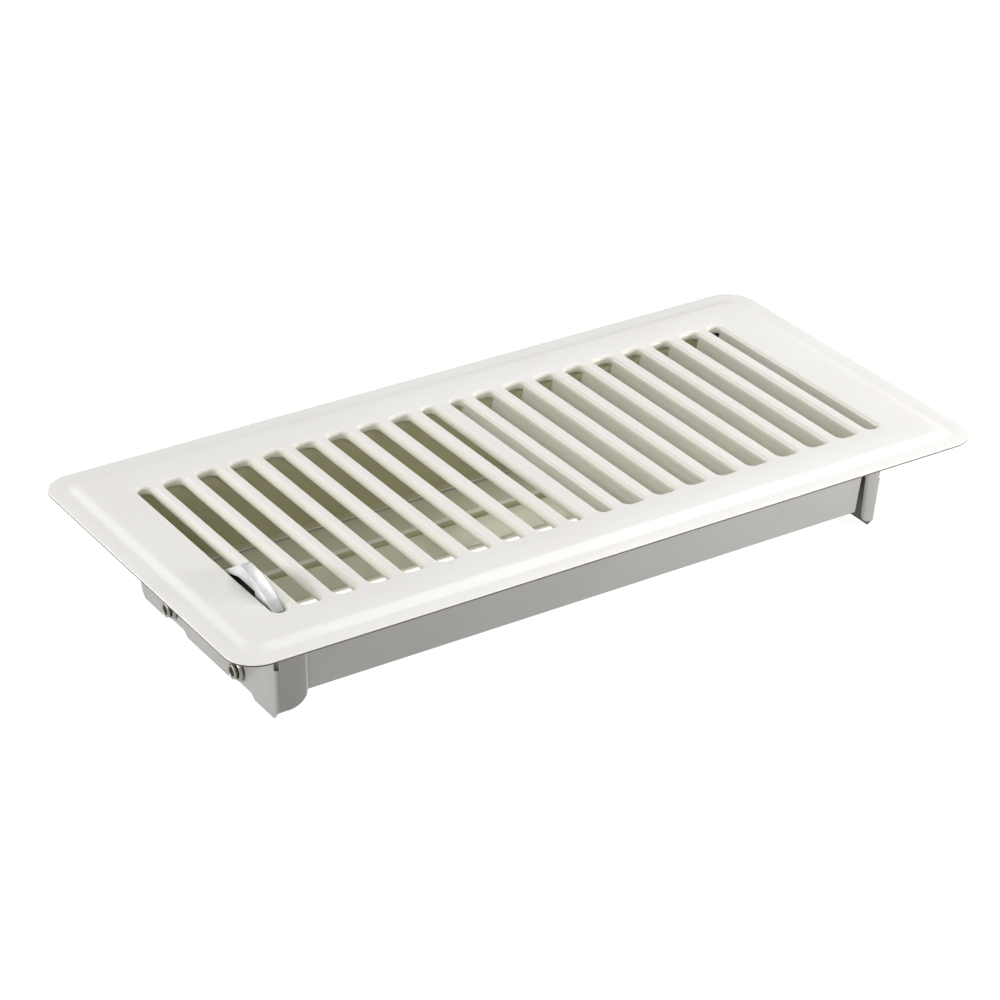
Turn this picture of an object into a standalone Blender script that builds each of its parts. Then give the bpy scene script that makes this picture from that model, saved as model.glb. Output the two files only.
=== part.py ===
"""Louvred air grille: a stamped faceplate over a valve box with two coupled damper blades.

Metres, +Z up.  +X runs along the length, +Y from the front long side to the back long side.
The origin is below the centre of the plate, level with the lowest edge of the valve box.
"""
import math

import bmesh
import bpy
from mathutils import Vector

# Faceplate
PLATE_LENGTH = 0.280
PLATE_WIDTH = 0.140
PLATE_CORNER = 0.0105
SHEET = 0.0009
FIELD_RISE = 0.0011
RIM_Z = 0.0368                     # underside of the rim above the lowest edge of the box
FIELD_TOP = RIM_Z + SHEET + FIELD_RISE

# Slots and louvres
PITCH = 0.01223
SLOT_WIDTH = 0.0076
SLOT_HALF_LENGTH = 0.0468
SLOT_CORNER = 0.0024
THIRD_SLOT_START = -0.0937
LIP_DEPTH = 0.0028
LIP_WALL = 0.0008
LIP_ROLL = 0.0012
FIN_THICKNESS = 0.0006
FIN_DEPTH = 0.0082
FIN_LEAN = 0.0015
FIN_HALF_LENGTH = 0.0448

# Valve box: sizes at the rim; every side tapers inwards with depth
BOX_SHEET = 0.0008
GAP = 0.0003
TAPER_X = 0.049
TAPER_Y = 0.093
TAPER_WALL_END = 0.087
END_INNER_X = 0.1163
END_OUTER_X = END_INNER_X + BOX_SHEET
WALL_OUTER_Y = 0.0486
WALL_INNER_Y = WALL_OUTER_Y - BOX_SHEET
WALL_DEPTH = 0.0295
BACK_WALL_DEPTH = 0.0292
WALL_FOOT = 0.0030
WALL_RIGHT_X = 0.1097
TAB_OUTER_Y = WALL_OUTER_Y + GAP + BOX_SHEET
TAB_DEPTH = 0.0338
LEFT_TAB_X = 0.1058
LEFT_TAB_ROUND = 0.0070
RIGHT_TAB_X = 0.1097
RIGHT_TAB_ROUND = 0.0042
CORNER_CUT = 0.0032
FOLD_SLOT_DEPTH = 0.0179
FOLD_SLOT_RADIUS = 0.0010
NOTCH_HALF = 0.0080
NOTCH_RISE = 0.0017

# Damper
PIVOT_Y = 0.0226
PIVOT_Z = RIM_Z - 0.0300
PIN_RADIUS = 0.0020
HEAD_RADIUS = 0.0026
JOURNAL_RADIUS = 0.0014
PIN_BORE = 0.0016
PIN_STEP_X = 0.1146
PIN_TIP_X = 0.1186
COLLAR_X = 0.1161
COLLAR_RADIUS = 0.0036
BLADE_LEFT_X = -0.1141
BLADE_RIGHT_X = 0.1080
FRONT_BLADE_OUTER = 0.0190
BACK_BLADE_OUTER = 0.0207
FRONT_BLADE_INNER = 0.0235
BACK_BLADE_INNER = 0.0178
BEAD_RADIUS = 0.0021
EAR_HEIGHT = 0.0090
EAR_X = 0.1075
LINK_X = 0.1087

# Lever: a hump-shaped pressed cap on an arc about the front pivot
LEVER_X = (-0.1145, -0.1107)
LEVER_SIDE_Z = FIELD_TOP + 0.0009
LEVER_RADIUS = 0.0377
LEVER_INNER = 0.0262
LEVER_SHEET = 0.0009
LEVER_FRONT_DEG = -36.0
LEVER_TOP_DEG = -2.0
LEVER_BACK = (0.0092, 0.0309)
LEVER_RIVETS = (-0.0145, -0.0095)
RIVET_X = -0.1125

PAINT = ("white_paint", (0.86, 0.85, 0.82, 1.0), 0.42, 0.0)
GREY = ("grey_steel", (0.50, 0.49, 0.46, 1.0), 0.45, 0.35)
OLIVE = ("damper_steel", (0.52, 0.51, 0.45, 1.0), 0.42, 0.45)
ZINC = ("zinc_fastener", (0.46, 0.46, 0.42, 1.0), 0.35, 0.85)
BRIGHT = ("bright_lever", (0.78, 0.78, 0.80, 1.0), 0.18, 1.0)


def material(spec, suffix):
    name, colour, roughness, metallic = spec
    made = bpy.data.materials.new(name + "_" + suffix)
    made.use_nodes = True
    shader = made.node_tree.nodes["Principled BSDF"]
    shader.inputs["Base Color"].default_value = colour
    shader.inputs["Roughness"].default_value = roughness
    shader.inputs["Metallic"].default_value = metallic
    made.diffuse_color = colour
    return made


def new_object(name, bm):
    bmesh.ops.recalc_face_normals(bm, faces=bm.faces)
    mesh = bpy.data.meshes.new(name)
    bm.to_mesh(mesh)
    bm.free()
    made = bpy.data.objects.new(name, mesh)
    bpy.context.scene.collection.objects.link(made)
    return made


def add_loft(bm, loops):
    """One closed solid through a stack of loops that have equal vertex counts."""
    rings = [[bm.verts.new(point) for point in loop] for loop in loops]
    count = len(rings[0])
    for lower, upper in zip(rings, rings[1:]):
        for i in range(count):
            j = (i + 1) % count
            bm.faces.new((lower[i], lower[j], upper[j], upper[i]))
    bm.faces.new(list(reversed(rings[0])))
    bm.faces.new(rings[-1])


def add_prism(bm, outline, axis, start, end):
    """Extrude an outline along X ('X': outline is Y,Z), Y (X,Z) or Z (X,Y)."""
    place = {
        "X": lambda along, p: (along, p[0], p[1]),
        "Y": lambda along, p: (p[0], along, p[1]),
        "Z": lambda along, p: (p[0], p[1], along),
    }[axis]
    add_loft(bm, [[place(start, p) for p in outline], [place(end, p) for p in outline]])


def add_ring(bm, section, centre, steps):
    """Revolve a closed (x, radius) section about an X axis through centre (y, z)."""
    rings = []
    for k in range(steps):
        angle = 2.0 * math.pi * k / steps
        rings.append([
            bm.verts.new((x, centre[0] + r * math.cos(angle), centre[1] + r * math.sin(angle)))
            for x, r in section
        ])
    count = len(section)
    for k in range(steps):
        here, there = rings[k], rings[(k + 1) % steps]
        for i in range(count):
            j = (i + 1) % count
            bm.faces.new((here[i], here[j], there[j], there[i]))


def add_turned(bm, profile, centre, steps):
    """Closed solid of revolution; profile starts and ends on the axis."""
    first = bm.verts.new((profile[0][0], centre[0], centre[1]))
    last = bm.verts.new((profile[-1][0], centre[0], centre[1]))
    rings = []
    for x, r in profile[1:-1]:
        rings.append([
            bm.verts.new((
                x,
                centre[0] + r * math.cos(2.0 * math.pi * k / steps),
                centre[1] + r * math.sin(2.0 * math.pi * k / steps),
            ))
            for k in range(steps)
        ])
    for k in range(steps):
        j = (k + 1) % steps
        bm.faces.new((first, rings[0][k], rings[0][j]))
        bm.faces.new((last, rings[-1][j], rings[-1][k]))
        for low, high in zip(rings, rings[1:]):
            bm.faces.new((low[k], high[k], high[j], low[j]))


def rounded_rectangle(x0, x1, y0, y1, radius, steps):
    points = []
    corners = ((x1, y1, 0), (x0, y1, 90), (x0, y0, 180), (x1, y0, 270))
    for x, y, start in corners:
        cx = x - math.copysign(radius, x - (x0 + x1) / 2)
        cy = y - math.copysign(radius, y - (y0 + y1) / 2)
        for k in range(steps + 1):
            angle = math.radians(start + 90.0 * k / steps)
            points.append((cx + radius * math.cos(angle), cy + radius * math.sin(angle)))
    return points


def arc(centre, radius, start, end, steps):
    return [
        (
            centre[0] + radius * math.cos(math.radians(start + (end - start) * k / steps)),
            centre[1] + radius * math.sin(math.radians(start + (end - start) * k / steps)),
        )
        for k in range(steps + 1)
    ]


def combine(target, bm, operation):
    """Apply an exact boolean with the solids in bm and drop the cutter."""
    tool = new_object("tool", bm)
    tool.display_type = "WIRE"
    tool.hide_render = True
    step = target.modifiers.new("step", "BOOLEAN")
    step.operation = operation
    step.solver = "EXACT"
    step.object = tool
    bpy.context.view_layer.update()
    graph = bpy.context.evaluated_depsgraph_get()
    mesh = bpy.data.meshes.new_from_object(target.evaluated_get(graph))
    target.modifiers.clear()
    old = target.data
    target.data = mesh
    bpy.data.meshes.remove(old)
    bpy.data.objects.remove(tool)


def finish(target, spec, origin=(0.0, 0.0, 0.0), sharp=35.0):
    """Merge stray vertices, shade, give the piece its material and put its origin in place."""
    bm = bmesh.new()
    bm.from_mesh(target.data)
    bmesh.ops.remove_doubles(bm, verts=bm.verts, dist=0.000005)
    bmesh.ops.dissolve_degenerate(bm, edges=bm.edges, dist=0.000005)
    bmesh.ops.recalc_face_normals(bm, faces=bm.faces)
    for vertex in bm.verts:
        vertex.co -= Vector(origin)
    bm.to_mesh(target.data)
    bm.free()
    target.location = origin
    for polygon in target.data.polygons:
        polygon.use_smooth = True
    target.data.set_sharp_from_angle(angle=math.radians(sharp))
    target.data.materials.clear()
    target.data.materials.append(material(spec, target.name))


def slot_openings():
    """The twenty openings (x0, x1), mirrored about the centre; the end and centre ones are narrower."""
    left = [(-0.1152, -0.1102)]
    for k in range(8):
        start = THIRD_SLOT_START + (k - 1) * PITCH
        left.append((start, start + SLOT_WIDTH))
    left.append((-0.0081, -0.00315))
    return left + [(-x1, -x0) for x0, x1 in reversed(left)]


def slot_outline(opening, spread):
    x0, x1 = opening
    return rounded_rectangle(
        x0 - spread, x1 + spread,
        -SLOT_HALF_LENGTH - spread, SLOT_HALF_LENGTH + spread,
        min(SLOT_CORNER, (x1 - x0) / 2 - 0.0002) + spread, 3,
    )


def build_faceplate():
    rim = [
        (0.0057, 0.0), (0.0004, 0.0), (0.0, 0.0003), (0.0, 0.0006), (0.0004, SHEET), (0.0054, SHEET),
        (0.0066, SHEET + 0.0002), (0.0086, SHEET + 0.0009), (0.0098, SHEET + FIELD_RISE),
    ]
    under = [(0.0102, FIELD_RISE), (0.0090, 0.0009), (0.0070, 0.0002)]
    bm = bmesh.new()
    loops = []
    for inset, height in under + rim:
        outline = rounded_rectangle(
            -PLATE_LENGTH / 2 + inset, PLATE_LENGTH / 2 - inset,
            -PLATE_WIDTH / 2 + inset, PLATE_WIDTH / 2 - inset,
            PLATE_CORNER - 0.75 * inset, 6,
        )
        loops.append([(x, y, RIM_Z + height) for x, y in outline])
    add_loft(bm, loops)
    plate = new_object("faceplate", bm)

    openings = slot_openings()
    bm = bmesh.new()
    for opening in openings:
        outline = slot_outline(opening, LIP_WALL)
        add_prism(bm, outline, "Z", FIELD_TOP - LIP_DEPTH, FIELD_TOP - 0.0005)
    combine(plate, bm, "UNION")

    bm = bmesh.new()
    for opening in openings:
        levels = [(0.0, FIELD_TOP - 0.004)]
        for degrees in (0, 35, 70):
            turn = math.radians(degrees)
            spread = LIP_ROLL * (1 - math.cos(turn))
            levels.append((spread, FIELD_TOP - LIP_ROLL * (1 - math.sin(turn))))
        levels.append((LIP_ROLL, FIELD_TOP + 0.00015))
        loops = []
        for spread, z in levels:
            loops.append([(x, y, z) for x, y in slot_outline(opening, spread)])
        add_loft(bm, loops)
    combine(plate, bm, "DIFFERENCE")

    bm = bmesh.new()
    top = FIELD_TOP - 0.0018
    lip = FIELD_TOP - LIP_DEPTH
    low = FIELD_TOP - FIN_DEPTH
    for index, (x0, x1) in enumerate(openings):
        if index == 0:
            continue
        side = 1.0 if index < 10 else -1.0
        hinge = x0 if index < 10 else x1
        near = hinge - side * 0.0001
        far = near - side * FIN_THICKNESS
        outline = [
            (far, top), (near, top), (near, lip), (near + side * FIN_LEAN, low),
            (far + side * FIN_LEAN, low), (far, lip - 0.0002),
        ]
        add_prism(bm, outline, "Y", -FIN_HALF_LENGTH, FIN_HALF_LENGTH)
    combine(plate, bm, "UNION")
    finish(plate, PAINT, sharp=28.0)


def lean_wall(wall, side):
    """Lean a side wall inwards with depth; its right end is cut back at a slant."""
    for vertex in wall.data.vertices:
        depth = max(0.0, RIM_Z - vertex.co.z)
        vertex.co.y -= side * TAPER_Y * depth
        if vertex.co.x < -0.1:
            vertex.co.x += TAPER_X * depth
        if vertex.co.x > 0.1:
            vertex.co.x -= TAPER_WALL_END * depth


def lean_end_plate(plate, side):
    """Lean an end plate and its tabs inwards; the right tabs keep an upright free edge."""
    for vertex in plate.data.vertices:
        depth = max(0.0, RIM_Z - vertex.co.z)
        share = 1.0
        if side > 0:
            share = min(1.0, (abs(vertex.co.x) - RIGHT_TAB_X) / (END_INNER_X - RIGHT_TAB_X))
        vertex.co.x -= side * TAPER_X * depth * share
        if abs(vertex.co.y) > 0.040:
            vertex.co.y -= math.copysign(TAPER_Y, vertex.co.y) * depth


def build_side_wall(name, side, wall_depth):
    """Leaning sheet with a foot turned inwards below and a flange under the plate above."""
    bottom = RIM_Z - wall_depth
    top = RIM_Z + FIELD_RISE - GAP
    outer = WALL_OUTER_Y
    inner = WALL_INNER_Y
    toe = inner - WALL_FOOT
    outline = [
        (outer, bottom + 0.0006), (outer - 0.0006, bottom), (toe + 0.0003, bottom),
        (toe, bottom + 0.0003), (toe, bottom + BOX_SHEET - 0.0003), (toe + 0.0003, bottom + BOX_SHEET),
        (inner, bottom + BOX_SHEET), (inner, top), (0.0550, top), (0.0550, top - BOX_SHEET),
        (outer, top - BOX_SHEET),
    ]
    bm = bmesh.new()
    add_prism(bm, [(side * y, z) for y, z in outline], "X", -END_INNER_X + GAP, WALL_RIGHT_X)
    wall = new_object(name, bm)
    bm = bmesh.new()
    for x0, x1 in ((-0.13, -0.1040), (0.1035, 0.13)):
        y0, y1 = sorted((side * (outer + 0.00001), side * 0.06))
        add_prism(bm, [(x0, y0), (x1, y0), (x1, y1), (x0, y1)], "Z", RIM_Z - 0.0020, RIM_Z + 0.0030)
    combine(wall, bm, "DIFFERENCE")
    lean_wall(wall, side)
    finish(wall, GREY)


def build_end_plate(name, side, tab_x, round_r):
    bend = 0.0012
    inner_bend = bend - BOX_SHEET
    cx = END_OUTER_X - bend
    cy = TAB_OUTER_Y - bend
    plan = [(tab_x, -TAB_OUTER_Y)] + arc((cx, -cy), bend, 270, 360, 4)
    plan += arc((cx, cy), bend, 0, 90, 4) + [(tab_x, TAB_OUTER_Y), (tab_x, TAB_OUTER_Y - BOX_SHEET)]
    plan += arc((cx, cy), inner_bend, 90, 0, 3) + arc((cx, -cy), inner_bend, 0, -90, 3)
    plan += [(tab_x, -TAB_OUTER_Y + BOX_SHEET)]
    top = RIM_Z + FIELD_RISE - GAP
    bm = bmesh.new()
    add_prism(bm, [(side * x, y) for x, y in plan], "Z", 0.0, top)
    plate = new_object(name, bm)

    bm = bmesh.new()
    x0 = side * (END_INNER_X + 0.0004)
    flange = [(x0, -0.0425), (side * 0.1235, -0.0425), (side * 0.1235, 0.0425), (x0, 0.0425)]
    add_prism(bm, flange, "Z", top - BOX_SHEET - 0.00002, top - 0.00002)
    combine(plate, bm, "UNION")

    # Tabs end higher than the plate, with a rounded lower corner.
    bm = bmesh.new()
    tab_z = RIM_Z - TAB_DEPTH
    corner = arc((tab_x + round_r, tab_z + round_r), round_r, 270, 180, 8)
    below = [(END_OUTER_X - 0.0016, -0.001), (END_OUTER_X - 0.0016, tab_z)] + corner
    below += [(tab_x - 0.001, tab_z + round_r), (tab_x - 0.001, -0.001)]
    for y0, y1 in ((-0.052, -0.0470), (0.0470, 0.052)):
        add_prism(bm, [(side * x, z) for x, z in below], "Y", y0, y1)
    combine(plate, bm, "DIFFERENCE")

    # Lower edge of the plate: two shallow notches under the pivots and rounded ends.
    bm = bmesh.new()
    for y in (-PIVOT_Y, PIVOT_Y):
        notch = [
            (y - NOTCH_HALF - 0.0008, -0.001), (y + NOTCH_HALF + 0.0008, -0.001),
            (y + NOTCH_HALF + 0.0004, 0.0008), (y + NOTCH_HALF - 0.0010, NOTCH_RISE),
            (y - NOTCH_HALF + 0.0010, NOTCH_RISE), (y - NOTCH_HALF - 0.0004, 0.0008),
        ]
        add_prism(bm, notch, "X", side * (END_INNER_X - 0.002), side * (END_OUTER_X + 0.002))
    for end in (-1.0, 1.0):
        edge = TAB_OUTER_Y + 0.0002
        relief = [(end * (edge + 0.001), -0.001), (end * (edge + 0.001), CORNER_CUT + 0.0002)]
        relief += [(end * edge, CORNER_CUT), (end * (edge - 0.0012), CORNER_CUT - 0.0010)]
        relief += [(end * (edge - 0.0028), -0.0001), (end * (edge - 0.0028), -0.001)]
        add_prism(bm, relief, "X", side * (END_INNER_X - 0.003), side * (END_OUTER_X + 0.002))
    combine(plate, bm, "DIFFERENCE")

    # A slot down the front fold parts the upper half of the tab from the plate.
    bm = bmesh.new()
    centre = (side * (END_OUTER_X - 0.0006), 0.0006 - TAB_OUTER_Y)
    add_prism(bm, arc(centre, FOLD_SLOT_RADIUS, 0, 330, 11), "Z", RIM_Z - FOLD_SLOT_DEPTH, RIM_Z + 0.003)
    combine(plate, bm, "DIFFERENCE")
    lean_end_plate(plate, side)

    bm = bmesh.new()
    for y in (-PIVOT_Y, PIVOT_Y):
        profile = [(side * 0.113, 0), (side * 0.113, PIN_RADIUS + GAP), (side * 0.118, PIN_RADIUS + GAP)]
        add_turned(bm, profile + [(side * 0.118, 0)], (y, PIVOT_Z), 20)
    combine(plate, bm, "DIFFERENCE")
    finish(plate, GREY)


def blade_outline(outward, outer, inner):
    """Closed sheet section (y, z) from the pivot: a flat leaf rolled over the pins, inner edge turned down."""
    half = BOX_SHEET / 2
    bead = BEAD_RADIUS
    upper = [(-outer, half)] + arc((0.0, 0.0), bead + half, 170, 10, 8)
    upper += [(inner - 0.0003, half), (inner, half - 0.0003), (inner, -0.0014)]
    lower = [(inner - BOX_SHEET, -0.0014), (inner - BOX_SHEET, -half)]
    lower += [(bead - half, -half)] + arc((0.0, 0.0), bead - half, 0, 180, 8)
    lower += [(-bead + half, -half), (-outer, -half)]
    return [(-outward * y, z) for y, z in upper + lower]


def build_blade(name, side):
    pivot = side * PIVOT_Y
    outer, inner = (
        (FRONT_BLADE_OUTER, FRONT_BLADE_INNER) if side < 0 else (BACK_BLADE_OUTER, BACK_BLADE_INNER)
    )
    bm = bmesh.new()
    section = [(pivot + y, PIVOT_Z + z) for y, z in blade_outline(side, outer, inner)]
    add_prism(bm, section, "X", BLADE_LEFT_X, BLADE_RIGHT_X)
    blade = new_object(name, bm)

    # Crank ear at the right end, part of the blade.
    bm = bmesh.new()
    ear = [(pivot - 0.0028, PIVOT_Z - 0.00025), (pivot + 0.0028, PIVOT_Z - 0.00025)]
    ear += arc((pivot, PIVOT_Z + EAR_HEIGHT), 0.0026, 0, 180, 6)
    add_prism(bm, ear, "X", EAR_X - 0.0004, EAR_X + 0.0003)
    combine(blade, bm, "UNION")

    bm = bmesh.new()
    bore = JOURNAL_RADIUS + GAP
    ends = (EAR_X - 0.003, EAR_X + 0.003)
    add_turned(bm, [(ends[0], 0), (ends[0], bore), (ends[1], bore), (ends[1], 0)], (pivot, PIVOT_Z), 20)
    hole = 0.0015
    centre = (pivot, PIVOT_Z + EAR_HEIGHT)
    add_turned(bm, [(ends[0], 0), (ends[0], hole), (ends[1], hole), (ends[1], 0)], centre, 12)
    combine(blade, bm, "DIFFERENCE")
    if side < 0:
        bm = bmesh.new()
        for y in LEVER_RIVETS:
            add_upright(bm, [(0.0013, -0.002), (0.0013, 0.002)], (pivot + y, PIVOT_Z), 12)
        combine(blade, bm, "DIFFERENCE")
    finish(blade, OLIVE, (0.0, pivot, PIVOT_Z))


def add_upright(bm, section, centre, steps):
    """Round solid standing on Z at the rivets, given as (radius, z offset) from bottom to top."""
    loops = []
    for radius, z in section:
        loops.append([
            (
                RIVET_X + radius * math.cos(2 * math.pi * k / steps),
                centre[0] + radius * math.sin(2 * math.pi * k / steps),
                centre[1] + z,
            )
            for k in range(steps)
        ])
    add_loft(bm, loops)


def build_pivot(name, side_x, side_y, inner_x):
    """Tubular pin, hollow at its outer end, riveted over with a small flare."""
    section = [
        (inner_x, 0.0), (inner_x, JOURNAL_RADIUS - 0.0003), (inner_x + 0.0003, JOURNAL_RADIUS),
        (PIN_STEP_X, JOURNAL_RADIUS), (PIN_STEP_X, PIN_RADIUS), (PIN_TIP_X - 0.0013, PIN_RADIUS),
        (PIN_TIP_X - 0.0009, HEAD_RADIUS - 0.0002), (PIN_TIP_X - 0.0005, HEAD_RADIUS),
        (PIN_TIP_X - 0.0001, HEAD_RADIUS - 0.0001), (PIN_TIP_X, HEAD_RADIUS - 0.0004),
        (PIN_TIP_X - 0.0002, PIN_BORE), (PIN_TIP_X - 0.0035, PIN_BORE), (PIN_TIP_X - 0.0035, 0.0),
    ]
    bm = bmesh.new()
    add_turned(bm, [(side_x * x, r) for x, r in section], (side_y * PIVOT_Y, PIVOT_Z), 16)
    pin = new_object(name, bm)
    finish(pin, ZINC, (0.0, side_y * PIVOT_Y, PIVOT_Z))


def build_collar(name, side_x, side_y):
    """Pressed ring around the pivot hole on the outside of the end plate."""
    x0 = COLLAR_X
    inner = PIN_RADIUS + GAP
    section = [
        (x0, inner), (x0, COLLAR_RADIUS), (x0 + 0.0005, COLLAR_RADIUS), (x0 + 0.0009, COLLAR_RADIUS - 0.0003),
        (x0 + 0.0011, inner + 0.0007), (x0 + 0.0009, inner + 0.0002), (x0 + 0.0005, inner),
    ]
    bm = bmesh.new()
    add_ring(bm, [(side_x * x, r) for x, r in section], (side_y * PIVOT_Y, PIVOT_Z), 20)
    collar = new_object(name, bm)
    finish(collar, ZINC)


def lever_outline(inset):
    """Side outline (y, z) of the hump from the pivot; inset gives the hollow inside the sheet."""
    top = 90 - LEVER_TOP_DEG
    front = 90 - LEVER_FRONT_DEG
    turn = math.degrees(inset / LEVER_RADIUS)
    points = arc((0.0, 0.0), LEVER_RADIUS - inset, front - turn, top, 12)
    points += [(LEVER_BACK[0] - 1.6 * inset, LEVER_BACK[1] - 0.4 * inset)]
    depth = LEVER_INNER - (0.002 if inset else 0.0)
    points += arc((0.0, 0.0), depth, 74 + turn, front - turn, 8)
    return [(y - PIVOT_Y, z + PIVOT_Z) for y, z in points]


def build_lever():
    pivot = (-PIVOT_Y, PIVOT_Z)
    x0, x1 = LEVER_X
    sheet = LEVER_SHEET
    front_y = LEVER_RADIUS * math.sin(math.radians(LEVER_FRONT_DEG))
    front_z = LEVER_RADIUS * math.cos(math.radians(LEVER_FRONT_DEG))
    foot = BOX_SHEET / 2 + GAP
    bm = bmesh.new()
    add_prism(bm, lever_outline(0.0), "X", x0, x1)
    lever = new_object("damper_lever", bm)

    # Hollow the hump from below, and open its left side low down.
    bm = bmesh.new()
    add_prism(bm, lever_outline(sheet), "X", x0 + sheet, x1 - sheet)
    combine(lever, bm, "DIFFERENCE")
    bm = bmesh.new()
    low_side = [(y, min(z, LEVER_SIDE_Z)) for y, z in lever_outline(sheet)]
    add_prism(bm, low_side, "X", x0 - 0.001, x0 + 1.5 * sheet)
    combine(lever, bm, "DIFFERENCE")

    # Neck down to the blade and the foot riveted to it.
    bm = bmesh.new()
    y = pivot[0] + front_y
    z = pivot[1] + front_z - 0.0004
    low = pivot[1] + foot
    heel = pivot[0] - 0.0182
    neck = [
        (y + 0.0002, z), (heel - 0.0003, low + 0.0006), (heel, low), (pivot[0] - 0.0065, low),
        (pivot[0] - 0.0065, low + sheet), (heel + 0.0011, low + sheet),
        (heel + 0.0006, low + sheet + 0.0004), (y + 0.0019, z - 0.0060), (y + 0.0016, z - 0.0006),
    ]
    add_prism(bm, neck, "X", x0 + 0.0002, x1)
    combine(lever, bm, "UNION")

    bm = bmesh.new()
    for offset in LEVER_RIVETS:
        add_upright(bm, [(0.0013, 0.0002), (0.0013, 0.0030)], (pivot[0] + offset, pivot[1]), 12)
    combine(lever, bm, "DIFFERENCE")
    finish(lever, BRIGHT, (0.0, pivot[0], pivot[1]))


def build_lever_rivet(name, offset):
    under = -BOX_SHEET / 2 - GAP
    over = BOX_SHEET / 2 + 2 * GAP + LEVER_SHEET
    section = [
        (0.0010, under - 0.0006), (0.0018, under - 0.0005), (0.0020, under), (0.0010, under),
        (0.0010, over), (0.0020, over), (0.0018, over + 0.0005), (0.0010, over + 0.0008),
    ]
    bm = bmesh.new()
    add_upright(bm, section, (-PIVOT_Y + offset, PIVOT_Z), 12)
    finish(new_object(name, bm), ZINC, (0.0, -PIVOT_Y, PIVOT_Z))


def build_link():
    z = PIVOT_Z + EAR_HEIGHT
    bm = bmesh.new()
    outline = arc((PIVOT_Y, z), 0.0023, -90, 90, 6) + arc((-PIVOT_Y, z), 0.0023, 90, 270, 6)
    add_prism(bm, outline, "X", LINK_X - 0.0004, LINK_X + 0.0004)
    link = new_object("link_bar", bm)
    bm = bmesh.new()
    for y in (-PIVOT_Y, PIVOT_Y):
        profile = [(0.106, 0), (0.106, 0.0015), (0.111, 0.0015), (0.111, 0)]
        add_turned(bm, profile, (y, z), 12)
    combine(link, bm, "DIFFERENCE")
    finish(link, OLIVE, (0.0, -PIVOT_Y, z))


def build_link_pin(name, side):
    left = EAR_X - 0.0004 - GAP
    right = LINK_X + 0.0004 + GAP
    profile = [
        (left - 0.0006, 0), (left - 0.0006, 0.0014), (left - 0.0003, 0.0020), (left, 0.0020),
        (left, 0.0012), (right, 0.0012), (right, 0.0020), (right + 0.0003, 0.0020),
        (right + 0.0006, 0.0014), (right + 0.0006, 0),
    ]
    centre = (side * PIVOT_Y, PIVOT_Z + EAR_HEIGHT)
    bm = bmesh.new()
    add_turned(bm, profile, centre, 12)
    finish(new_object(name, bm), ZINC, (0.0, centre[0], centre[1]))


def main():
    for item in list(bpy.data.objects):
        bpy.data.objects.remove(item)
    build_faceplate()
    build_side_wall("front_side_wall", -1.0, WALL_DEPTH)
    build_side_wall("back_side_wall", 1.0, BACK_WALL_DEPTH)
    build_end_plate("left_end_plate", -1.0, LEFT_TAB_X, LEFT_TAB_ROUND)
    build_end_plate("right_end_plate", 1.0, RIGHT_TAB_X, RIGHT_TAB_ROUND)
    build_blade("front_damper_blade", -1.0)
    build_blade("back_damper_blade", 1.0)
    for row, side_y in (("front", -1.0), ("back", 1.0)):
        for end, side_x, inner_x in (("left", -1.0, 0.1000), ("right", 1.0, 0.0950)):
            build_pivot(row + "_" + end + "_pivot", side_x, side_y, inner_x)
            build_collar(row + "_" + end + "_collar", side_x, side_y)
    build_lever()
    build_lever_rivet("front_lever_rivet", LEVER_RIVETS[0])
    build_lever_rivet("back_lever_rivet", LEVER_RIVETS[1])
    build_link()
    build_link_pin("front_link_pin", -1.0)
    build_link_pin("back_link_pin", 1.0)


main()
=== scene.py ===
"""Louvred air grille on a plain studio floor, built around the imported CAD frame.

Every piece is laid out from the frame's own boxes, in metres: +X along the length,
+Y from the front long side to the back long side, +Z up.
"""

import math

import bmesh
import bpy
from mathutils import Euler, Matrix, Vector


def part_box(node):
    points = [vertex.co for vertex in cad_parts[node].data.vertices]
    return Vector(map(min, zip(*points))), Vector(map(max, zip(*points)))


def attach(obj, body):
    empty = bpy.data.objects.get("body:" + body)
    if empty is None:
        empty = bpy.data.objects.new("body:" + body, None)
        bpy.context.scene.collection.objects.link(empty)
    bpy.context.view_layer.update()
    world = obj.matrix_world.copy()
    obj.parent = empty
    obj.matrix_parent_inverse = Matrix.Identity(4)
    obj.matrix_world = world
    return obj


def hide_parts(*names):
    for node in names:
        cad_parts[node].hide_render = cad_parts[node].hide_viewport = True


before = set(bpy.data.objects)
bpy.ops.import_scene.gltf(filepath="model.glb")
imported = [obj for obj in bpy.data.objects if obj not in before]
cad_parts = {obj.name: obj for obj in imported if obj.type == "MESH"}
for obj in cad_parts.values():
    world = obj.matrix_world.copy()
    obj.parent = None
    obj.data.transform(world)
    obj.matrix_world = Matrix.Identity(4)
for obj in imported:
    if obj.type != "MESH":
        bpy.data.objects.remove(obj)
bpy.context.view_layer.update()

# Places and sizes that come from the frame
FACE_LOW, FACE_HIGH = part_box("faceplate")
HALF_LENGTH = FACE_HIGH.x
HALF_WIDTH = FACE_HIGH.y
FIELD_TOP = FACE_HIGH.z
FIN_BOTTOM = FACE_LOW.z
PIN_LOW, PIN_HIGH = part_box("back_left_pivot")
PIVOT_Y = (PIN_LOW.y + PIN_HIGH.y) / 2
PIVOT_Z = (PIN_LOW.z + PIN_HIGH.z) / 2
PIN_TIP_X = -PIN_LOW.x
COLLAR_X = -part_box("back_left_collar")[1].x
COLLAR_RADIUS = (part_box("back_left_collar")[1].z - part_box("back_left_collar")[0].z) / 2
WALL_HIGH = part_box("front_side_wall")[1]
BLADE_LOW, BLADE_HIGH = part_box("front_damper_blade")
LEVER_LOW, LEVER_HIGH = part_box("damper_lever")

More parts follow.
